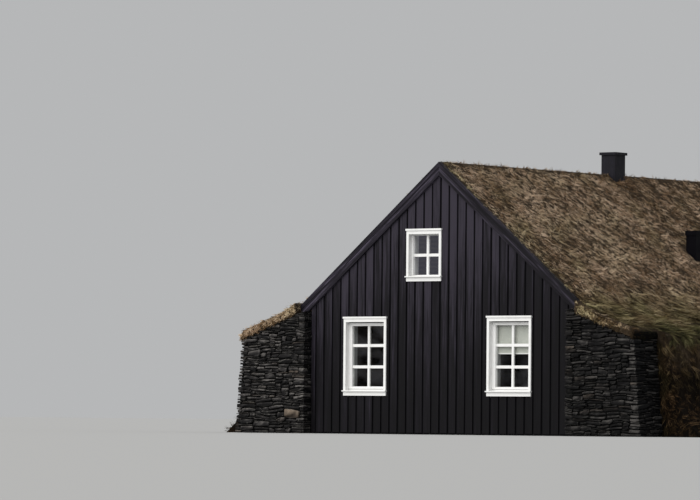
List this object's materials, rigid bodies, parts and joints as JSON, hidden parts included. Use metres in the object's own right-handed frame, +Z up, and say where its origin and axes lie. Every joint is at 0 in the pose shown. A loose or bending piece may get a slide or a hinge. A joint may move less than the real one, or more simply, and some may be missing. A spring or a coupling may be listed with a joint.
{
  "type": "turf house",
  "caption": "Turf house with black boarded gables, white windows and a hinged rear door between battered dry stone walls, under a mantle of turf that runs down into banks.",
  "frame": {"origin": "middle of the house's box, on the ground", "axes": "+X to the right along the front gable, -Y out of the front gable, +Z up"},
  "size_m": [10.7668, 11.8, 5.422],
  "materials": {
    "turf": "dry matted grass over earth",
    "dry_stone": "rough split basalt laid dry",
    "black_timber": "black tarred boards, satin",
    "door_black": "black paint, satin",
    "bare_wood": "planed, unpainted",
    "white_joinery": "white gloss paint",
    "glass": "clear sealed unit",
    "concrete": "trowelled concrete",
    "steel": "brushed",
    "black_metal": "black paint, satin"
  },
  "bodies": {
    "house": {"floor_slab": "concrete", "loft_floor": "bare_wood", "front_gable": "black_timber", "rear_gable_left": "black_timber", "rear_gable_right": "black_timber", "rear_gable_top": "black_timber", "side_wall_left": "bare_wood", "side_wall_right": "bare_wood", "turf_bank_left": "turf", "turf_bank_right": "turf", "stone_wall_front_left": "dry_stone", "stone_wall_front_right": "dry_stone", "stone_wall_rear_left": "dry_stone", "stone_wall_rear_right": "dry_stone", "roof_deck_left": "bare_wood", "roof_deck_right": "bare_wood", "turf_roof_left": "turf", "turf_roof_right": "turf", "ridge_beam": "bare_wood", "barge_front_left": "black_timber", "barge_front_right": "black_timber", "barge_rear_left": "black_timber", "barge_rear_right": "black_timber", "window_front_left": "white_joinery", "window_front_right": "white_joinery", "window_front_loft": "white_joinery", "window_rear_left": "white_joinery", "window_rear_right": "white_joinery", "window_rear_loft": "white_joinery", "glass_front_left": "glass", "glass_front_right": "glass", "glass_front_loft": "glass", "glass_rear_left": "glass", "glass_rear_right": "glass", "glass_rear_loft": "glass", "door_frame": "white_joinery", "door_threshold": "concrete", "hinge_brackets": "steel", "chimney_body": "black_metal", "chimney_cap": "black_metal", "vent_body": "black_metal", "vent_cap": "black_metal"},
    "door": {"door_leaf": "door_black", "door_handle": "steel", "hinge_straps": "steel"}
  },
  "joints": [
    {"name": "door_swing", "type": "hinge", "parent": "house", "child": "door", "pos_m": [-0.118, 5.637, 1], "axis": [0, 0, 1], "range_deg": [0, 100]}
  ]
}
